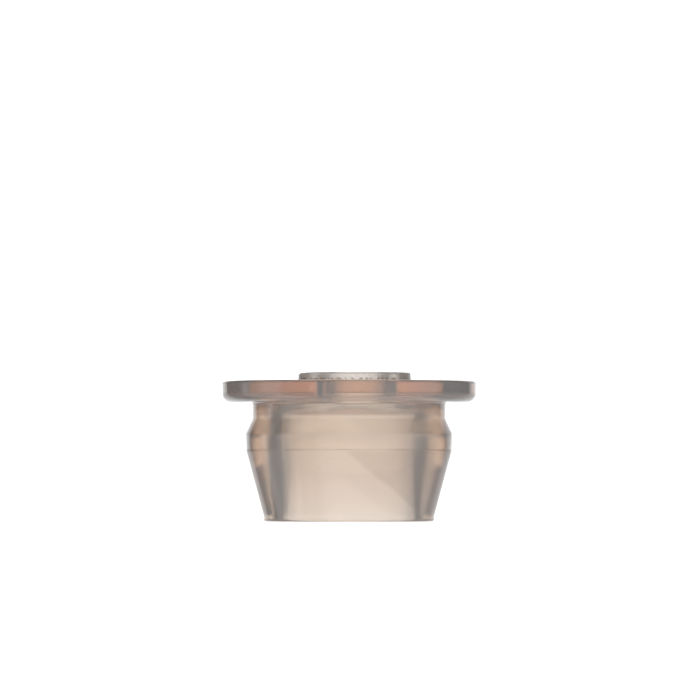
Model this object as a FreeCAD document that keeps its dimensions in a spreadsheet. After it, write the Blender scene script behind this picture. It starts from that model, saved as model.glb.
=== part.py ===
"""A snap-in insulating bush, in two pieces.

The insulator body is one tinted, see-through moulding of revolution: a flange that rests on
a panel, a neck that fills the panel's hole, a snap bead, and a hollow tapered nose. A flat
collar stands on the flange. The passage runs through the collar and the flange into the wide
bore, on an axis a little to one side of the body's own.

Millimetres, +Z up. The origin is the centre of the nose's end face, on the body's axis.
"""
import FreeCAD, Part
import os

import Sketcher

# Name, value, what it is. A height or level is measured up from the nose's end face.
SIZES = (
    ("nose_radius", 8.54, "nose's end face"),
    ("nose_round", 0.3, "round on the nose's outer edge"),
    ("lip_radius", 8.57, "narrow end of the taper"),
    ("lip_level", 0.75, "level where the lip ends and the taper starts"),
    ("crest_low_radius", 10.28, "snap bead at the lower edge of its crest"),
    ("crest_low_level", 7.1, "level of the crest's lower edge"),
    ("crest_radius", 10.34, "snap bead at the upper edge of its crest"),
    ("crest_level", 8.7, "level of the crest's upper edge"),
    ("neck_radius", 9.65, "neck that fills the panel's hole"),
    ("neck_level", 10.2, "level where the snap bead ends and the neck starts"),
    ("neck_round", 0.2, "fillet between the neck and the flange"),
    ("flange_radius", 12.7, "flange, one inch across"),
    ("flange_level", 11.85, "level of the flange's underside"),
    ("flange_low_round", 1.0, "round on the flange's lower edge"),
    ("flange_top_level", 14.0, "level of the flange's top face"),
    ("flange_top_round", 0.3, "round on the flange's upper edge"),
    ("bore_radius", 6.65, "wide bore"),
    ("bore_depth", 12.2, "wide bore, from the nose's end face to its ceiling"),
    ("bore_round", 1.8, "round between the wide bore's wall and its ceiling"),
    ("offset", 0.55, "passage and collar axis from the body's axis, along +X"),
    ("passage_radius", 2.85, "passage through the collar and the flange"),
    ("collar_radius", 5.6, "collar"),
    ("collar_level", 14.85, "level of the collar's top face"),
    ("collar_round", 0.2, "round on the collar's upper edge"),
)
AXIS = "axis"
FLOOR = "floor"


def sheet_of(document):
    """The spreadsheet that holds the sizes, each under its own name."""
    sheet = document.addObject("Spreadsheet::Sheet", "sizes")
    for row, (alias, value, meaning) in enumerate(SIZES, start=1):
        sheet.set(f"A{row}", meaning)
        sheet.set(f"B{row}", str(value))
        sheet.setAlias(f"B{row}", alias)
    document.recompute()
    return sheet


def size(sheet, name):
    """A size's value, or zero on the axis and on the floor."""
    if name in (AXIS, FLOOR):
        return 0.0
    return float(sheet.get(name))


def bind(thing, path, name):
    thing.setExpression(path, f"sizes.{name}")


def new_body(document, name):
    body = document.addObject("PartDesign::Body", name)
    body.Label = name
    return body


def new_sketch(body, role, name):
    """An empty sketch on one of the body's own origin planes."""
    sketch = body.newObject("Sketcher::SketchObject", name)
    plane = next(item for item in body.Origin.OriginFeatures if item.Role == role)
    sketch.AttachmentSupport = (plane, [""])
    sketch.MapMode = "FlatFace"
    return sketch


def hold(sketch, kind, segment, end, name, value):
    """Tie one coordinate of a geometry's point to a size, or to the sketch's axis."""
    if name == AXIS:
        sketch.addConstraint(Sketcher.Constraint("PointOnObject", segment, end, -2))
    elif name == FLOOR:
        sketch.addConstraint(Sketcher.Constraint("PointOnObject", segment, end, -1))
    else:
        index = sketch.addConstraint(Sketcher.Constraint(kind, -1, 1, segment, end, value))
        bind(sketch, f"Constraints[{index}]", name)


def outline(body, sheet, name, corners):
    """A closed half section in the XZ plane, its corners given as (radius, level) names."""
    sketch = new_sketch(body, "XZ_Plane", name)
    points = [FreeCAD.Vector(size(sheet, radius), size(sheet, level), 0) for radius, level in corners]
    following = points[1:] + points[:1]
    for start, finish in zip(points, following):
        sketch.addGeometry(Part.LineSegment(start, finish), False)
    for index, (radius, level) in enumerate(corners):
        after = (index + 1) % len(corners)
        sketch.addConstraint(Sketcher.Constraint("Coincident", index, 2, after, 1))
        hold(sketch, "DistanceX", index, 1, radius, points[index].x)
        hold(sketch, "DistanceY", index, 1, level, points[index].y)
    return sketch


def circle(body, sheet, name, radius, centre_x):
    """A circle in the XY plane, with its centre on the X axis."""
    sketch = new_sketch(body, "XY_Plane", name)
    centre = FreeCAD.Vector(size(sheet, centre_x), 0, 0)
    axis = FreeCAD.Vector(0, 0, 1)
    sketch.addGeometry(Part.Circle(centre, axis, size(sheet, radius)), False)
    index = sketch.addConstraint(Sketcher.Constraint("Radius", 0, size(sheet, radius)))
    bind(sketch, f"Constraints[{index}]", radius)
    hold(sketch, "DistanceX", 0, 3, centre_x, centre.x)
    sketch.addConstraint(Sketcher.Constraint("PointOnObject", 0, 3, -1))
    return sketch


def revolve(body, name, sketch):
    """Turn a half section once round its vertical axis."""
    solid = body.newObject("PartDesign::Revolution", name)
    solid.Profile = sketch
    solid.ReferenceAxis = (sketch, ["V_Axis"])
    solid.Angle = 360
    sketch.Visibility = False
    body.Document.recompute()
    return solid


def bore_up(body, name, sketch, depth):
    """Cut a round hole upward from the floor. It has to take material away."""
    before = body.Shape.Volume
    pocket = body.newObject("PartDesign::Pocket", name)
    pocket.Profile = sketch
    pocket.Reversed = True
    bind(pocket, "Length", depth)
    sketch.Visibility = False
    body.Document.recompute()
    if body.Shape.Volume >= before:
        raise RuntimeError(f"{name} cuts nothing")
    return pocket


def rim(shape, radius, level):
    """Name of the circular edge that has this radius at this level."""
    for number, edge in enumerate(shape.Edges, start=1):
        if not isinstance(edge.Curve, Part.Circle):
            continue
        if abs(edge.Curve.Radius - radius) < 1e-6 and abs(edge.Curve.Center.z - level) < 1e-6:
            return f"Edge{number}"
    raise RuntimeError(f"no edge of radius {radius} at level {level}")


def soften(body, sheet, name, base, edge, amount):
    """A fillet on one rim of the solid so far, the rim given by (radius, level)."""
    radius, level = (size(sheet, part) for part in edge)
    feature = body.newObject("PartDesign::Fillet", name)
    feature.Base = (base, [rim(base.Shape, radius, level)])
    bind(feature, "Radius", amount)
    body.Document.recompute()
    return feature


def insulator_body(document, sheet):
    """The moulded body: flange, neck, snap bead and tapered nose, hollow from below."""
    body = new_body(document, "insulator_body")
    section = outline(body, sheet, "body_section", (
        (AXIS, FLOOR),
        ("nose_radius", FLOOR),
        ("lip_radius", "lip_level"),
        ("crest_low_radius", "crest_low_level"),
        ("crest_radius", "crest_level"),
        ("neck_radius", "neck_level"),
        ("neck_radius", "flange_level"),
        ("flange_radius", "flange_level"),
        ("flange_radius", "flange_top_level"),
        (AXIS, "flange_top_level"),
    ))
    solid = revolve(body, "body_solid", section)
    wide = circle(body, sheet, "wide_circle", "bore_radius", AXIS)
    solid = bore_up(body, "wide_bore", wide, "bore_depth")
    narrow = circle(body, sheet, "narrow_circle", "passage_radius", "offset")
    solid = bore_up(body, "passage", narrow, "flange_top_level")
    rounds = (
        ("ceiling_round", ("bore_radius", "bore_depth"), "bore_round"),
        ("flange_low_edge", ("flange_radius", "flange_level"), "flange_low_round"),
        ("flange_top_edge", ("flange_radius", "flange_top_level"), "flange_top_round"),
        ("neck_root", ("neck_radius", "flange_level"), "neck_round"),
        ("nose_edge", ("nose_radius", FLOOR), "nose_round"),
    )
    for name, edge, amount in rounds:
        solid = soften(body, sheet, name, solid, edge, amount)
    return body


def collar(document, sheet):
    """The flat ring on the flange, built on its own axis and placed on the passage's."""
    body = new_body(document, "collar")
    section = outline(body, sheet, "collar_section", (
        ("passage_radius", "flange_top_level"),
        ("collar_radius", "flange_top_level"),
        ("collar_radius", "collar_level"),
        ("passage_radius", "collar_level"),
    ))
    solid = revolve(body, "collar_solid", section)
    soften(body, sheet, "collar_edge", solid, ("collar_radius", "collar_level"), "collar_round")
    bind(body, "Placement.Base.x", "offset")
    return body


def check(document, bodies):
    """Stop if any object failed to rebuild, or a sub-part isn't one valid solid."""
    for item in document.Objects:
        if {"Invalid", "Error"} & set(item.State):
            raise RuntimeError(f"{item.Name} is {item.State}")
    for body in bodies:
        shape = body.Shape
        if shape.isNull() or not shape.isValid() or len(shape.Solids) != 1:
            raise RuntimeError(f"{body.Label} isn't one valid solid")


def main():
    document = FreeCAD.newDocument("insulator_bush")
    sheet = sheet_of(document)
    bodies = [insulator_body(document, sheet), collar(document, sheet)]
    document.recompute()
    check(document, bodies)
    os.makedirs("parts", exist_ok=True)
    for body in bodies:
        body.Shape.exportStep(f"parts/{body.Label}.step")
        print(f"{body.Label}: {body.Shape.Volume:.1f} mm3")


main()
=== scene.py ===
"""Looks for the snap-in insulating bush: its two see-through pieces, the floor, light and camera.

Laid out as an add-on with one operator a piece, and run as a script. Units are metres, +Z up.
"""

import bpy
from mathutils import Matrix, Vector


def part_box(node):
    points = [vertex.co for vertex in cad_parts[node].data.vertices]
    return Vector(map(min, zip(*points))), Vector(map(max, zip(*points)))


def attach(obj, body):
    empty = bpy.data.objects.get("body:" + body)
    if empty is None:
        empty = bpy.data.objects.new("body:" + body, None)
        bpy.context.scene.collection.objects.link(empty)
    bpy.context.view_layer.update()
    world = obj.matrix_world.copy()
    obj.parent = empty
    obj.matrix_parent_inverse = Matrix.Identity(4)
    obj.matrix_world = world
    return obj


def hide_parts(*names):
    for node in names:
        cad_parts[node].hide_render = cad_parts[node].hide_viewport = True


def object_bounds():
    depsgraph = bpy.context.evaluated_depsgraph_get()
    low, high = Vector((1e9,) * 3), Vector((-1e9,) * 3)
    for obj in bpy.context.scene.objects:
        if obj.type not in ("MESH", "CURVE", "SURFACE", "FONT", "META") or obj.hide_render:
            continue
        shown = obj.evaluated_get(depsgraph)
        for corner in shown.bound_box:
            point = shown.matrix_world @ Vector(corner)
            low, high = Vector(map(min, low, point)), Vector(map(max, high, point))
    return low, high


bl_info = {
    "name": "Insulating Bush",
    "version": (1, 0, 0),
    "blender": (4, 5, 0),
    "location": "3D View > Sidebar > Insulating Bush",
    "description": "Builds a tinted snap-in insulating bush with a flat collar on its flange",
    "category": "Add Mesh",
}

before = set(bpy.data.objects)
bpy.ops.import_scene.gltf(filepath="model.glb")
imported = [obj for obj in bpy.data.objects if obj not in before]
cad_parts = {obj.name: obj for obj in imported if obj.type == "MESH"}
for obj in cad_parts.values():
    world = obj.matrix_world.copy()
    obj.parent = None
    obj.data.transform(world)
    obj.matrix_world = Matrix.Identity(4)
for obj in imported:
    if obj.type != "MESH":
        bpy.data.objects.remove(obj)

import math

import bpy
from bpy.props import FloatProperty, FloatVectorProperty, IntProperty, PointerProperty
from mathutils import Vector, noise

CAD_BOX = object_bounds()
BODY_LOW, BODY_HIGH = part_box("insulator_body")
COLLAR_LOW, COLLAR_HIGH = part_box("collar")
FLANGE_RADIUS = (BODY_HIGH.x - BODY_LOW.x) / 2
COLLAR_RADIUS = (COLLAR_HIGH.x - COLLAR_LOW.x) / 2
COLLAR_CENTRE = (COLLAR_LOW.x + COLLAR_HIGH.x) / 2  # how far the passage's axis is along +X
MM = 0.001
SHARP_ANGLE = math.radians(8)  # faces that meet at more than this keep a crisp edge
JOINT_GAP = 0.01 * MM  # between the collar's foot and the flange
FLOOR_GAP = 0.02 * MM  # between the nose's end face and the floor
MARGIN = 0.05 * MM  # how far a finish reaches past the surface it is meant for
REFRACTION = 1.5
WHITE = (1.0, 1.0, 1.0, 1.0)
# The room's light, by degrees to the right of straight behind: a bright backdrop, dark from
# 37 degrees to its left and 41 to its right, and one narrow strip light far to the left.
BACKDROP = (
    (-90, 0.06), (-78, 0.06), (-74, 0.60), (-69, 0.60), (-65, 0.03), (-37, 0.03), (-34, 0.48),
    (-25, 0.66), (-15, 0.95), (-5, 1.0), (4, 1.0), (15, 0.84), (25, 0.60), (38, 0.42),
    (41, 0.03), (90, 0.10),
)
FILL = (0.58, 0.58, 0.58, 1.0)  # the soft light in front, overhead and on the floor
ROOM_STRENGTH = 1.40


def length(name, description, millimetres):
    """A size that a user may change."""
    return FloatProperty(
        name=name,
        description=description,
        default=millimetres * MM,
        precision=5,
        unit="LENGTH",
        subtype="DISTANCE",
    )


def faces_round(name, description, count):
    """How many faces go once round a piece, which a user may change."""
    return IntProperty(name=name, description=description, default=count, min=64)


def share(name, description, value):
    """A finish value from 0 to 1 that a user may change."""
    return FloatProperty(
        name=name,
        description=description,
        default=value,
        min=0.0,
        max=1.0,
        subtype="FACTOR",
    )


def density(name, description, value):
    """How strongly a piece takes up light, which a user may change."""
    return FloatProperty(name=name, description=description, default=value, min=0.0)


def tint(name, description, colour):
    """A colour that a user may change."""
    return FloatVectorProperty(
        name=name,
        description=description,
        default=colour,
        size=4,
        min=0.0,
        max=1.0,
        subtype="COLOR",
    )


class BodySettings(bpy.types.PropertyGroup):
    """Sizes, finish, tints and painted shade of the moulded body. Its ends and rim come from the
    frame.
    """

    segments: faces_round("Segments", "Faces round the body", 320)
    nose_radius: length("Nose radius", "Nose's end face", 8.54)
    nose_round: length("Nose round", "Round on the nose's outer edge", 0.3)
    lip_radius: length("Lip radius", "Narrow end of the taper", 8.57)
    lip_level: length("Lip level", "Where the taper starts", 0.75)
    crest_low_radius: length("Crest low radius", "Snap bead at its crest's lower edge", 10.28)
    crest_low_level: length("Crest low level", "Crest's lower edge", 7.1)
    crest_radius: length("Crest radius", "Snap bead at its crest's upper edge", 10.34)
    crest_level: length("Crest level", "Crest's upper edge", 8.7)
    neck_radius: length("Neck radius", "Neck that fills the panel's hole", 9.65)
    neck_level: length("Neck level", "Where the neck starts", 10.2)
    neck_round: length("Neck round", "Fillet between the neck and the flange", 0.2)
    flange_level: length("Flange level", "Flange's underside", 11.85)
    flange_low_round: length("Flange low round", "Round on the flange's lower edge", 1.0)
    flange_top_round: length("Flange top round", "Round on the flange's upper edge", 0.3)
    bore_radius: length("Bore radius", "Wide bore", 6.65)
    bore_depth: length("Bore depth", "Wide bore's ceiling", 12.2)
    bore_round: length("Bore round", "Round between the bore's wall and ceiling", 1.8)
    passage_radius: length("Passage radius", "Passage through the flange", 2.85)
    parting_depth: length("Parting depth", "Fine groove at the crest's lower edge", 0.06)
    tool_depth: length("Tool mark depth", "Finer groove at the crest's upper edge", 0.012)
    polish: share("Flange roughness", "Polished flange and passage", 0.04)
    nose_roughness: share("Nose roughness", "Satin neck, bead and taper", 0.12)
    mouth_roughness: share("Bore mouth roughness", "Wide bore at its mouth", 0.07)
    bore_roughness: share("Bore roughness", "Satin wide bore, near its ceiling", 0.16)
    grease: share("Grease", "Roughness that smears of grease add", 0.05)
    speck_roughness: share("Speck roughness", "Roughness that specks add", 0.06)
    clarity: share("Clarity", "What isn't scattered by haze at a surface", 0.84)
    density: density("Tint density", "Absorption per metre", 290.0)
    tint: tint("Tint", "What the moulding lets through", (0.82, 0.667, 0.505, 1.0))
    # painted shade on the taper: darker above a soft, wavering edge that runs down to the right
    taper_shade_level: length("Flow mark level", "Start of the flow mark's soft edge, on the axis", 7.3)
    taper_shade_blur: length("Flow mark blur", "Height of the flow mark's soft edge", 0.6)
    taper_shade_waver: length("Flow mark waver", "How far grease smears pull the mark down", 1.5)
    taper_shade_slope: share("Flow mark slope", "How far the mark falls, per length to the right", 0.85)
    taper_shade_tint: tint("Flow mark tint", "Surface past the flow mark", (0.86, 0.845, 0.84, 1.0))
    speck_tint: tint("Speck tint", "Small specks in the surface", (0.95, 0.93, 0.91, 1.0))
    # painted shade on the flange's rim, darker towards its lower edge
    rim_shade_tint: tint("Rim tint", "Flange's rim at its lower edge", (0.96, 0.955, 0.95, 1.0))
    ripple_height: length("Ripple height", "Fine rings left by the mould", 0.002)


class CollarSettings(bpy.types.PropertyGroup):
    """Sizes, finish and tints of the collar. Its outside and ends come from the frame."""

    segments: faces_round("Segments", "Faces round the collar", 256)
    passage_radius: length("Passage radius", "Passage through the collar", 2.85)
    collar_round: length("Collar round", "Round on the collar's upper edge", 0.2)
    wear_depth: length("Wear depth", "How far the rim's worn corner is down", 0.09)
    nick_depth: length("Nick depth", "Small nicks along the rim's upper edge", 0.03)
    polish: share("Collar roughness", "Passage and top face", 0.12)
    ground: share("Ground rim roughness", "Ground outer rim", 0.34)
    speck_roughness: share("Speck roughness", "Roughness that specks add", 0.10)
    clarity: share("Clarity", "What isn't scattered by haze at a surface", 0.85)
    density: density("Tint density", "Absorption per metre", 55.0)
    tint: tint("Tint", "What the collar lets through", (0.95, 0.76, 0.60, 1.0))
    grit_tint: tint("Grit tint", "Specks on the ground rim", (0.90, 0.84, 0.78, 1.0))
    joint_tint: tint("Joint tint", "Dirt dots along the foot", (0.30, 0.26, 0.22, 1.0))
    joint_height: length("Joint height", "How far up the rim the dirt dots reach", 0.28)
    grit_height: length("Grit height", "How far grit and fine waves stand out", 0.0007)


class StageSettings(bpy.types.PropertyGroup):
    """Floor, light and camera."""

    camera_distance: length("Camera distance", "From the camera to the bush's axis", 900.0)
    camera_height: length("Camera height", "Camera above the floor", 1.5)
    aim_level: length("Aim level", "Height of the middle of the view", 17.1)
    aim_across: length("Aim across", "Middle of the view beside the axis", 0.1)
    view_width: length("View width", "What the view spans at the bush", 69.7)
    floor_radius: length("Floor radius", "Round pale floor", 3000.0)


# ---------------------------------------------------------------- mesh code


def arc(centre_radius, centre_level, radius, start, end, steps=14):
    """Section points (radius, level) along an arc, its angles in degrees from straight out."""
    points = []
    for step in range(steps + 1):
        angle = math.radians(start + (end - start) * step / steps)
        across = centre_radius + radius * math.cos(angle)
        points.append((across, centre_level + radius * math.sin(angle)))
    return points


def groove(radius, level, depth):
    """Section points of a fine V groove, as wide as it is deep."""
    half = depth / 2
    return [(radius, level - half), (radius - depth, level), (radius, level + half)]


def about(centre, section):
    """Rings (centre, radius, level) from section points that share one axis."""
    return [(centre, radius, level) for radius, level in section]


def closed_rings(name, rings, segments, shape=None):
    """A closed mesh of rings, each joined to the next and the last to the first.

    A ring's centre may lie off the axis along +X. shape, if given, lowers a point.
    """
    turns = [2 * math.pi * step / segments for step in range(segments)]
    points = []
    for centre, radius, level in rings:
        for turn in turns:
            drop = shape(radius, level, turn) if shape else 0.0
            points.append((centre + radius * math.cos(turn), radius * math.sin(turn), level - drop))
    faces = []
    for ring in range(len(rings)):
        above = (ring + 1) % len(rings)
        for step in range(segments):
            beside = (step + 1) % segments
            corners = ((ring, step), (ring, beside), (above, beside), (above, step))
            faces.append([row * segments + column for row, column in corners])
    mesh = bpy.data.meshes.new(name)
    mesh.from_pydata(points, [], faces)
    mesh.validate()
    mesh.shade_smooth()
    mesh.set_sharp_from_angle(angle=SHARP_ANGLE)
    piece = bpy.data.objects.new(name, mesh)
    bpy.context.scene.collection.objects.link(piece)
    return piece


def body_rings(sizes):
    """The moulded body's rings, from the nose's end face up the outside and down the bore."""
    top = BODY_HIGH.z
    floor = BODY_LOW.z
    nose, low, high = sizes.nose_round, sizes.flange_low_round, sizes.flange_top_round
    root, ceiling = sizes.neck_round, sizes.bore_round
    outside = arc(sizes.nose_radius - nose, floor + nose, nose, -90, 0)
    outside.append((sizes.lip_radius, sizes.lip_level))
    outside += groove(sizes.crest_low_radius, sizes.crest_low_level, sizes.parting_depth)
    outside += groove(sizes.crest_radius, sizes.crest_level, sizes.tool_depth)
    outside.append((sizes.neck_radius, sizes.neck_level))
    outside += arc(sizes.neck_radius + root, sizes.flange_level - root, root, 180, 90)
    outside += arc(FLANGE_RADIUS - low, sizes.flange_level + low, low, -90, 0)
    outside += arc(FLANGE_RADIUS - high, top - high, high, 0, 90)
    passage = [(sizes.passage_radius, top), (sizes.passage_radius, sizes.bore_depth)]
    corner = sizes.bore_radius - ceiling
    inside = arc(corner, sizes.bore_depth - ceiling, ceiling, 90, 0)
    inside.append((sizes.bore_radius, floor))
    return about(0, outside) + about(COLLAR_CENTRE, passage) + about(0, inside)


def collar_rings(sizes):
    """The collar's rings, from the passage out along its foot, up the rim and over the top."""
    foot = COLLAR_LOW.z + JOINT_GAP
    top = COLLAR_HIGH.z
    edge = sizes.collar_round
    section = [(sizes.passage_radius, foot), (COLLAR_RADIUS, foot)]
    section += arc(COLLAR_RADIUS - edge, top - edge, edge, 0, 90)
    section.append((sizes.passage_radius, top))
    return about(COLLAR_CENTRE, section)


def collar_wear(sizes):
    """How far a point of the collar's upper edge is worn down, by its turn round the axis."""
    width = 2 * sizes.collar_round
    inner = COLLAR_RADIUS - width
    lowest = COLLAR_HIGH.z - 1.2 * sizes.collar_round
    # a circle through soft noise: the larger it is, the more nicks there are
    circle, level_of_circle = 9, 0.4

    def drop(radius, level, turn):
        if radius < inner or level < lowest:
            return 0.0
        outward = (radius - inner) / width
        # most worn towards -X, fading to nothing by the sides
        worn = sizes.wear_depth * max(0.0, -math.cos(turn)) ** 6
        place = Vector((circle * math.cos(turn), circle * math.sin(turn), level_of_circle))
        nick = max(0.0, noise.noise(place))
        return outward * (worn + sizes.nick_depth * nick)

    return drop


# ---------------------------------------------------------------- materials


def new_material(name):
    """An empty material, with its nodes and links."""
    material = bpy.data.materials.new(name)
    material.use_nodes = True
    return material, material.node_tree.nodes, material.node_tree.links


def feed(links, socket, value):
    """Give a socket a plain value, or link another node's output to it."""
    if isinstance(value, bpy.types.NodeSocket):
        links.new(value, socket)
    else:
        socket.default_value = value


def maths(nodes, links, operation, first, second=None):
    """One maths node, its inputs either numbers or other nodes' outputs."""
    node = nodes.new("ShaderNodeMath")
    node.operation = operation
    for socket, value in zip(node.inputs, (first, second)):
        if value is not None:
            feed(links, socket, value)
    return node.outputs["Value"]


def within(nodes, links, value, low, high):
    """1 where the value lies between two limits, else 0. Limits are numbers or outputs."""
    above = maths(nodes, links, "GREATER_THAN", value, low)
    below = maths(nodes, links, "LESS_THAN", value, high)
    return maths(nodes, links, "MULTIPLY", above, below)


def eased(nodes, links, value, low, high):
    """0 at the first limit and 1 at the second, smooth between them."""
    node = nodes.new("ShaderNodeMapRange")
    node.interpolation_type = "SMOOTHSTEP"
    node.inputs["From Min"].default_value = low
    node.inputs["From Max"].default_value = high
    links.new(value, node.inputs["Value"])
    return node.outputs["Result"]


def place_parts(nodes, links):
    """The point's own place on the piece, and its outputs X, Y and Z."""
    place = nodes.new("ShaderNodeTexCoord")
    parts = nodes.new("ShaderNodeSeparateXYZ")
    links.new(place.outputs["Object"], parts.inputs[0])
    return place.outputs["Object"], parts.outputs


def cloud(nodes, links, place, scale, detail=2.0):
    """Soft noise from 0 to 1, about the size of 1 / scale metres."""
    node = nodes.new("ShaderNodeTexNoise")
    node.inputs["Detail"].default_value = detail
    links.new(place, node.inputs["Vector"])
    feed(links, node.inputs["Scale"], scale)
    return node.outputs["Fac"]


def new_group(name, inputs, output):
    """An effect group with named number inputs and one number output."""
    group = bpy.data.node_groups.new(name, "ShaderNodeTree")
    for title, value in inputs:
        socket = group.interface.new_socket(title, in_out="INPUT", socket_type="NodeSocketFloat")
        socket.default_value = value
    group.interface.new_socket(output, in_out="OUTPUT", socket_type="NodeSocketFloat")
    entry = group.nodes.new("NodeGroupInput").outputs
    result = group.nodes.new("NodeGroupOutput").inputs[output]
    return group, entry, result


def zone_group():
    """A stretch of surface between two distances from an upright axis and two levels."""
    inputs = (("Centre X", 0.0), ("Inner", 0.0), ("Outer", 1.0), ("Low", 0.0), ("High", 1.0))
    group, entry, result = new_group("finish_zone", inputs, "Mask")
    nodes, links = group.nodes, group.links
    _, parts = place_parts(nodes, links)
    across = maths(nodes, links, "SUBTRACT", parts["X"], entry["Centre X"])
    across = maths(nodes, links, "POWER", across, 2.0)
    deep = maths(nodes, links, "POWER", parts["Y"], 2.0)
    distance = maths(nodes, links, "SQRT", maths(nodes, links, "ADD", across, deep))
    ring = within(nodes, links, distance, entry["Inner"], entry["Outer"])
    band = within(nodes, links, parts["Z"], entry["Low"], entry["High"])
    links.new(maths(nodes, links, "MULTIPLY", ring, band), result)
    return group


def ripple_group():
    """Fine level rings with a slower waviness across them, as a height from 0 to 1."""
    inputs = (("Ring Scale", 2500.0), ("Wave Scale", 220.0), ("Wave Share", 0.5))
    group, entry, result = new_group("level_ripple", inputs, "Height")
    nodes, links = group.nodes, group.links
    place, parts = place_parts(nodes, links)
    rings = nodes.new("ShaderNodeTexNoise")
    rings.noise_dimensions = "1D"
    rings.inputs["Detail"].default_value = 3.0
    links.new(parts["Z"], rings.inputs["W"])
    links.new(entry["Ring Scale"], rings.inputs["Scale"])
    wave = cloud(nodes, links, place, entry["Wave Scale"])
    share_of_wave = maths(nodes, links, "MULTIPLY", wave, entry["Wave Share"])
    links.new(maths(nodes, links, "ADD", rings.outputs["Fac"], share_of_wave), result)
    return group


def speckle_group():
    """Small scattered specks, 1 on a speck and 0 between them."""
    group, entry, result = new_group("speckle", (("Scale", 4000.0), ("Level", 0.6)), "Mask")
    nodes, links = group.nodes, group.links
    place, _ = place_parts(nodes, links)
    grain = cloud(nodes, links, place, entry["Scale"], 1.0)
    over = maths(nodes, links, "SUBTRACT", grain, entry["Level"])
    links.new(eased(nodes, links, over, 0.0, 0.06), result)
    return group


def effect(nodes, group, **values):
    """One use of an effect group with its own values. Underscores stand for spaces."""
    node = nodes.new("ShaderNodeGroup")
    node.node_tree = group
    for title, value in values.items():
        node.inputs[title.replace("_", " ")].default_value = value
    return node.outputs[0]


def total(nodes, links, base, *parts):
    """A number plus masks times amounts, each part given as (mask, amount)."""
    result = base
    for mask, amount in parts:
        step = maths(nodes, links, "MULTIPLY", mask, amount)
        result = maths(nodes, links, "ADD", step, result)
    return result


def mixed(nodes, links, mask, first, second):
    """The first colour where the mask is 0 and the second where it is 1."""
    node = nodes.new("ShaderNodeMix")
    node.data_type = "RGBA"
    links.new(mask, node.inputs["Factor"])
    # the node's colour sockets, after its number and vector ones
    feed(links, node.inputs[6], first)
    feed(links, node.inputs[7], second)
    return node.outputs[2]


def clear_base(name, sizes):
    """A see-through material with a plain tint through its thickness and plain clarity."""
    material, nodes, links = new_material(name)
    surface = nodes["Principled BSDF"]
    surface.inputs["Transmission Weight"].default_value = sizes.clarity
    surface.inputs["IOR"].default_value = REFRACTION
    volume = nodes.new("ShaderNodeVolumeAbsorption")
    volume.inputs["Color"].default_value = sizes.tint
    volume.inputs["Density"].default_value = sizes.density
    links.new(volume.outputs["Volume"], nodes["Material Output"].inputs["Volume"])
    return material, nodes, links, surface


def raised(nodes, links, height, distance):
    """A normal from a height, distance being how far 1 stands above 0."""
    node = nodes.new("ShaderNodeBump")
    node.inputs["Strength"].default_value = 1.0
    node.inputs["Distance"].default_value = distance
    links.new(height, node.inputs["Height"])
    return node.outputs["Normal"]


def painted_taper_shade(nodes, links, parts, zone, grease, sizes):
    """Painted shade on the taper: 1 above a soft, wavering edge that runs down to the right across
    it, else 0.
    """
    slope = maths(nodes, links, "MULTIPLY", parts["X"], sizes.taper_shade_slope)
    side = maths(nodes, links, "ADD", slope, parts["Z"])
    waver = maths(nodes, links, "MULTIPLY", grease, sizes.taper_shade_waver)
    side = maths(nodes, links, "ADD", side, waver)
    past = eased(nodes, links, side, sizes.taper_shade_level, sizes.taper_shade_level + sizes.taper_shade_blur)
    taper = effect(nodes, zone, Inner=7.5 * MM, Low=0.0, High=sizes.crest_low_level - 2 * MARGIN)
    return maths(nodes, links, "MULTIPLY", past, taper)


def body_material(sizes, effects):
    """Moulded body: polished flange, satin nose and bore, painted shade on the taper and on the
    flange rim's lower edge, specks and fine rings.
    """
    material, nodes, links, surface = clear_base("tinted_body", sizes)
    zone, ripple, speckle = effects
    place, parts = place_parts(nodes, links)
    bore = effect(
        nodes, zone,
        Outer=sizes.bore_radius + MARGIN, Low=0.0, High=sizes.bore_depth + MARGIN,
    )
    # the outside from the flange down, and the nose's end face
    nose = effect(
        nodes, zone,
        Inner=sizes.bore_radius + 0.5 * MM, Low=-1.0 * MM, High=sizes.flange_level - MARGIN,
    )
    grease = cloud(nodes, links, place, scale=260.0, detail=3.0)
    specks = effect(nodes, speckle, Scale=2600.0, Level=0.70)
    # the wide bore is smoothest at its mouth
    deeper = eased(nodes, links, parts["Z"], 1.0 * MM, 9.0 * MM)
    deep_bore = maths(nodes, links, "MULTIPLY", bore, deeper)
    # most of what smears add on average is taken off first, so clean places are smoother
    rough = total(
        nodes, links, sizes.polish - 0.4 * sizes.grease,
        (nose, sizes.nose_roughness - sizes.polish),
        (bore, sizes.mouth_roughness - sizes.polish),
        (deep_bore, sizes.bore_roughness - sizes.mouth_roughness),
        (grease, sizes.grease),
        (specks, sizes.speck_roughness),
    )
    links.new(rough, surface.inputs["Roughness"])
    # painted shade: the taper is darker above a soft edge that runs down to the right
    painted_shade = painted_taper_shade(nodes, links, parts, zone, grease, sizes)
    colour = mixed(nodes, links, painted_shade, WHITE, sizes.taper_shade_tint)
    colour = mixed(nodes, links, specks, colour, sizes.speck_tint)
    # painted shade: the flange's rim is a little darker towards its lower edge, as though lit from
    # above
    rim = effect(
        nodes, zone,
        Inner=sizes.neck_radius + 1.0 * MM, Low=sizes.flange_level - 2 * MARGIN, High=1.0,
    )
    lower = eased(nodes, links, parts["Z"], BODY_HIGH.z - 0.3 * MM, BODY_HIGH.z - 1.3 * MM)
    shaded_low_rim = maths(nodes, links, "MULTIPLY", rim, lower)
    colour = mixed(nodes, links, shaded_low_rim, colour, sizes.rim_shade_tint)
    links.new(colour, surface.inputs["Base Color"])
    height = effect(nodes, ripple, Ring_Scale=2200.0, Wave_Scale=240.0, Wave_Share=1.2)
    links.new(raised(nodes, links, height, sizes.ripple_height), surface.inputs["Normal"])
    return material


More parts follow.
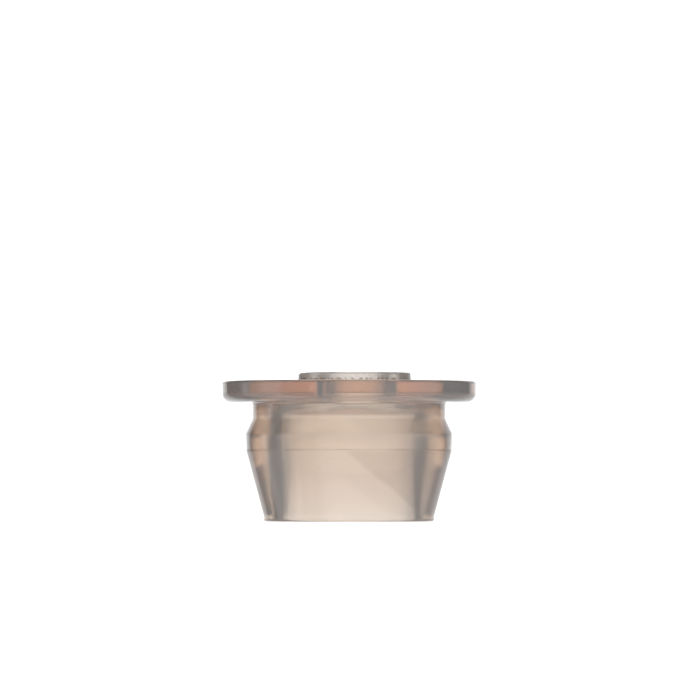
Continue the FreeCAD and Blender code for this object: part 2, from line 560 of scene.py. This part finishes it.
def collar_material(sizes, effects):
    """Collar: ground and speckled rim, clean passage, dark dotted joint at its foot."""
    material, nodes, links, surface = clear_base("collar_glass", sizes)
    zone, ripple, speckle = effects
    # the rim, the round above it and a sliver of both flat faces
    inner = COLLAR_RADIUS - 0.3 * MM
    joint_top = COLLAR_LOW.z + sizes.joint_height
    outside = effect(nodes, zone, Centre_X=COLLAR_CENTRE, Inner=inner, Low=0.0, High=1.0)
    foot = effect(nodes, zone, Centre_X=COLLAR_CENTRE, Inner=inner, Low=0.0, High=joint_top)
    specks = effect(nodes, speckle, Scale=3600.0, Level=0.55)
    dots = effect(nodes, speckle, Scale=2600.0, Level=0.46)
    rough = total(
        nodes, links, sizes.polish,
        (outside, sizes.ground - sizes.polish),
        (specks, sizes.speck_roughness),
    )
    links.new(rough, surface.inputs["Roughness"])
    joint = maths(nodes, links, "MULTIPLY", foot, dots)
    grit = maths(nodes, links, "MULTIPLY", outside, specks)
    colour = mixed(nodes, links, grit, WHITE, sizes.grit_tint)
    colour = mixed(nodes, links, joint, colour, sizes.joint_tint)
    links.new(colour, surface.inputs["Base Color"])
    height = effect(nodes, ripple, Ring_Scale=3000.0, Wave_Scale=2500.0, Wave_Share=1.0)
    height = total(nodes, links, height, (grit, 1.0))
    links.new(raised(nodes, links, height, sizes.grit_height), surface.inputs["Normal"])
    return material


def shared_effects():
    """The effect groups, made the first time and found again after that."""
    makers = {"finish_zone": zone_group, "level_ripple": ripple_group, "speckle": speckle_group}
    return [bpy.data.node_groups.get(name) or make() for name, make in makers.items()]


def white_floor():
    """The floor's finish: pale, matt and evenly bright."""
    material, nodes, _ = new_material("pale_floor")
    surface = nodes["Principled BSDF"]
    surface.inputs["Base Color"].default_value = (0.9, 0.9, 0.9, 1)
    surface.inputs["Roughness"].default_value = 0.9
    surface.inputs["Emission Color"].default_value = WHITE
    surface.inputs["Emission Strength"].default_value = 1.0
    return material


# ---------------------------------------------------------------- operators


class BUSH_OT_body(bpy.types.Operator):
    """Build the tinted moulded body in place of its plain frame node"""

    bl_idname = "bush.body"
    bl_label = "Build Moulded Body"

    def execute(self, context):
        sizes = context.scene.bush_body
        piece = closed_rings("moulded_body", body_rings(sizes), sizes.segments)
        piece.data.materials.append(body_material(sizes, shared_effects()))
        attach(piece, "root")
        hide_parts("insulator_body")
        return {"FINISHED"}


class BUSH_OT_collar(bpy.types.Operator):
    """Build the flat collar in place of its plain frame node"""

    bl_idname = "bush.collar"
    bl_label = "Build Collar"

    def execute(self, context):
        sizes = context.scene.bush_collar
        rings = collar_rings(sizes)
        piece = closed_rings("flange_collar", rings, sizes.segments, collar_wear(sizes))
        piece.data.materials.append(collar_material(sizes, shared_effects()))
        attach(piece, "root")
        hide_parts("collar")
        return {"FINISHED"}


class BUSH_OT_stage(bpy.types.Operator):
    """Lay the pale floor, set the light and place the camera"""

    bl_idname = "bush.stage"
    bl_label = "Set Stage"

    def execute(self, context):
        stage = context.scene.bush_stage
        lay_floor(stage)
        light_room(context.scene)
        place_camera(context.scene, stage)
        return {"FINISHED"}


def lay_floor(stage):
    """A round pale floor just under the nose. It doesn't show through the pieces or in them."""
    sides = 96
    radius = stage.floor_radius
    turns = [2 * math.pi * step / sides for step in range(sides)]
    rim = [(radius * math.cos(turn), radius * math.sin(turn), 0.0) for turn in turns]
    mesh = bpy.data.meshes.new("floor")
    mesh.from_pydata(rim, [], [list(range(sides))])
    floor = bpy.data.objects.new("floor", mesh)
    floor.location.z = CAD_BOX[0][2] - FLOOR_GAP
    floor.data.materials.append(white_floor())
    bpy.context.scene.collection.objects.link(floor)
    floor.visible_transmission = False
    floor.visible_glossy = False


def backdrop(nodes, links, turn):
    """The room's light by its angle to the right of straight behind."""
    half = maths(nodes, links, "DIVIDE", turn, math.pi)
    position = maths(nodes, links, "ADD", half, 0.5)
    ramp = nodes.new("ShaderNodeValToRGB")
    elements = ramp.color_ramp.elements
    while len(elements) < len(BACKDROP):
        elements.new(0.5)
    for element, (degrees, light) in zip(elements, BACKDROP):
        element.position = 0.5 + degrees / 180
        element.color = (light, light, light, 1)
    links.new(position, ramp.inputs["Fac"])
    return ramp.outputs["Color"]


def fill_share(nodes, links, behind, height):
    """How much of the backdrop's light the plain soft fill takes over, from 0 to 1."""
    front = eased(nodes, links, behind, 0.05, -0.10)
    # well above and well below
    steep = eased(nodes, links, maths(nodes, links, "ABSOLUTE", height), 0.5, 0.75)
    # the pale floor, from just below level
    floor = maths(nodes, links, "MULTIPLY", eased(nodes, links, height, -0.04, -0.12), 0.45)
    most = maths(nodes, links, "MAXIMUM", front, steep)
    return maths(nodes, links, "MAXIMUM", most, floor)


def brightness(nodes, links, turn, height):
    """What the light is multiplied by, for its angle and its height."""
    # brightest level with the part, and apart from that a little brighter below than above
    level = eased(nodes, links, maths(nodes, links, "ABSOLUTE", height), 0.06, 0.02)
    result = total(nodes, links, 1.0, (level, 0.30), (height, -0.1))
    # the dark strip left of the backdrop leans to the right towards its top
    lean = maths(nodes, links, "MAXIMUM", height, 0.0)
    lean = maths(nodes, links, "MULTIPLY", lean, 0.5)
    upright = maths(nodes, links, "SUBTRACT", turn, lean)
    strip = within(nodes, links, upright, math.radians(-66), math.radians(-36))
    return maths(nodes, links, "MULTIPLY", result, total(nodes, links, 1.0, (strip, -0.95)))


def light_room(scene):
    """A bright backdrop with dark sides, and soft light elsewhere. The camera sees only white."""
    world = bpy.data.worlds.new("studio")
    world.use_nodes = True
    nodes, links = world.node_tree.nodes, world.node_tree.links
    scene.world = world
    coordinates = nodes.new("ShaderNodeTexCoord")
    parts = nodes.new("ShaderNodeSeparateXYZ")
    links.new(coordinates.outputs["Generated"], parts.inputs["Vector"])
    right, behind, height = parts.outputs
    # the front half of the room mirrors the back half
    along = maths(nodes, links, "ABSOLUTE", behind)
    turn = maths(nodes, links, "ARCTAN2", right, along)
    filled = fill_share(nodes, links, behind, height)
    room = mixed(nodes, links, filled, backdrop(nodes, links, turn), FILL)
    lit = nodes.new("ShaderNodeVectorMath")
    lit.operation = "SCALE"
    links.new(room, lit.inputs[0])
    links.new(brightness(nodes, links, turn, height), lit.inputs["Scale"])
    path = nodes.new("ShaderNodeLightPath")
    seen = mixed(nodes, links, path.outputs["Is Camera Ray"], lit.outputs[0], WHITE)
    background = nodes["Background"]
    links.new(seen, background.inputs["Color"])
    background.inputs["Strength"].default_value = ROOM_STRENGTH
    scene.view_settings.view_transform = "Standard"


def place_camera(scene, stage):
    """A long lens in front of the bush, a little above the floor."""
    data = bpy.data.cameras.new("camera")
    camera = bpy.data.objects.new("camera", data)
    data.sensor_width = 36.0
    data.lens = data.sensor_width * stage.camera_distance / stage.view_width
    data.clip_start = 0.01
    camera.location = (0.0, -stage.camera_distance, stage.camera_height)
    aim = Vector((stage.aim_across, 0.0, stage.aim_level))
    camera.rotation_euler = (aim - camera.location).to_track_quat("-Z", "Y").to_euler()
    scene.collection.objects.link(camera)
    scene.camera = camera


class BUSH_PT_panel(bpy.types.Panel):
    """Lists the build steps in the 3D view's sidebar"""

    bl_idname = "BUSH_PT_panel"
    bl_label = "Insulating Bush"
    bl_space_type = "VIEW_3D"
    bl_region_type = "UI"
    bl_category = "Insulating Bush"

    def draw(self, context):
        for operator in OPERATORS:
            self.layout.operator(operator.bl_idname)


SETTINGS = {
    "bush_body": BodySettings,
    "bush_collar": CollarSettings,
    "bush_stage": StageSettings,
}
OPERATORS = (BUSH_OT_body, BUSH_OT_collar, BUSH_OT_stage)


def register():
    for name, settings in SETTINGS.items():
        bpy.utils.register_class(settings)
        setattr(bpy.types.Scene, name, PointerProperty(type=settings))
    for cls in OPERATORS + (BUSH_PT_panel,):
        bpy.utils.register_class(cls)


def unregister():
    for cls in (BUSH_PT_panel,) + OPERATORS:
        bpy.utils.unregister_class(cls)
    for name, settings in SETTINGS.items():
        delattr(bpy.types.Scene, name)
        bpy.utils.unregister_class(settings)


def main():
    register()
    bpy.ops.bush.body()
    bpy.ops.bush.collar()
    bpy.ops.bush.stage()


if __name__ == "__main__":
    main()
